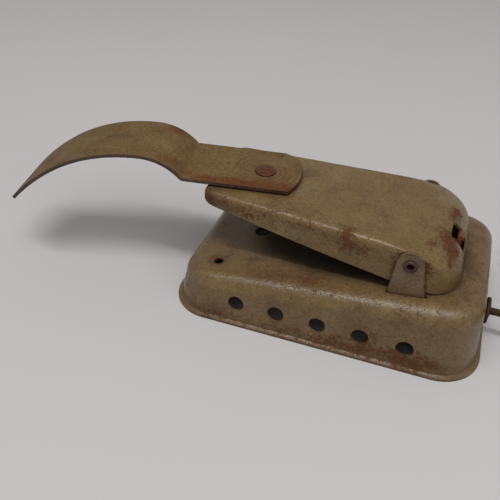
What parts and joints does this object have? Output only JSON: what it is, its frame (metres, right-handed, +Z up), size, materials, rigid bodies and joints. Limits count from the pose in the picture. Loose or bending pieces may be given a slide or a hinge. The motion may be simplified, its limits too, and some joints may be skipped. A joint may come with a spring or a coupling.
{
  "type": "treadle speed control",
  "caption": "Treadle speed control: ventilated wedge base, hinged sprung pedal, curved swivelling lever riveted on top, sliding resistance inside and a tied mains cord with plug.",
  "frame": {"origin": "middle of the base's footprint, on the floor", "axes": "+X along the base towards the hinge and the cord, +Y to the far side, +Z up"},
  "size_m": [0.4104, 0.1235, 0.0858],
  "materials": {
    "enamel": "worn grey-brown enamel with rust at the edges",
    "rusted_steel": "rusted",
    "dull_steel": "dull, lightly rusted",
    "brass": "tarnished",
    "resistance_wire": "oxidised wire winding",
    "ceramic": "unglazed ceramic",
    "moulded_black": "moulded, half gloss",
    "dark_rubber": "aged rubber",
    "cord_cover": "aged brown cord cover",
    "carbon": "pressed carbon"
  },
  "bodies": {
    "base": {"base_housing": "enamel", "bottom_plate": "dull_steel", "fixing_lug_front_near": "dull_steel", "fixing_lug_front_far": "dull_steel", "fixing_lug_rear_near": "dull_steel", "fixing_lug_rear_far": "dull_steel", "plate_screw_front_near": "dull_steel", "plate_screw_front_far": "dull_steel", "plate_screw_rear_near": "dull_steel", "plate_screw_rear_far": "dull_steel", "hinge_bracket": "enamel", "eyelet_near": "rusted_steel", "eyelet_far": "rusted_steel", "spring_seat": "dull_steel", "return_spring": "dull_steel", "end_plate_front": "dull_steel", "end_plate_rear": "dull_steel", "guide_rod": "dull_steel", "resistor_tube": "ceramic", "resistor_winding": "resistance_wire", "resistor_bolt": "dull_steel", "terminal_block": "moulded_black", "terminal_screw_front": "brass", "terminal_screw_rear": "brass", "lead_wire_front": "cord_cover", "lead_wire_rear": "cord_cover", "cord_grommet": "dark_rubber", "cord_lead": "cord_cover", "cord_coil": "cord_cover", "cord_tail": "cord_cover", "cord_tie": "dark_rubber", "plug_body": "moulded_black", "plug_pin_near": "brass", "plug_pin_far": "brass"},
    "pedal": {"pedal": "enamel", "drive_arm": "rusted_steel", "lever_rivet": "rusted_steel", "lever_washer": "dull_steel"},
    "lever": {"lever": "enamel"},
    "slider": {"contact_slider": "moulded_black", "contact_brush": "carbon"}
  },
  "joints": [
    {"name": "pedal_hinge", "type": "hinge", "parent": "base", "child": "pedal", "pos_m": [0.0435, 0, 0.05809], "axis": [0, -1, 0], "range_deg": [0, 8.5], "stiffness_Nm_per_rad": 4, "springref_deg": -14.32, "deforming": ["return_spring"]},
    {"name": "lever_swivel", "type": "hinge", "parent": "pedal", "child": "lever", "pos_m": [-0.0475, 0, 0.07122], "axis": [0.0349, 0, 0.9994], "range_deg": [-70.7, 49.3]},
    {"name": "slider_slide", "type": "slide", "parent": "base", "child": "slider", "axis": [1, 0, 0], "range_m": [0, 0.0072]}
  ],
  "couplings": [
    {"joint": "slider_slide", "follows": "pedal_hinge", "m_per_rad": 0.04782}
  ]
}
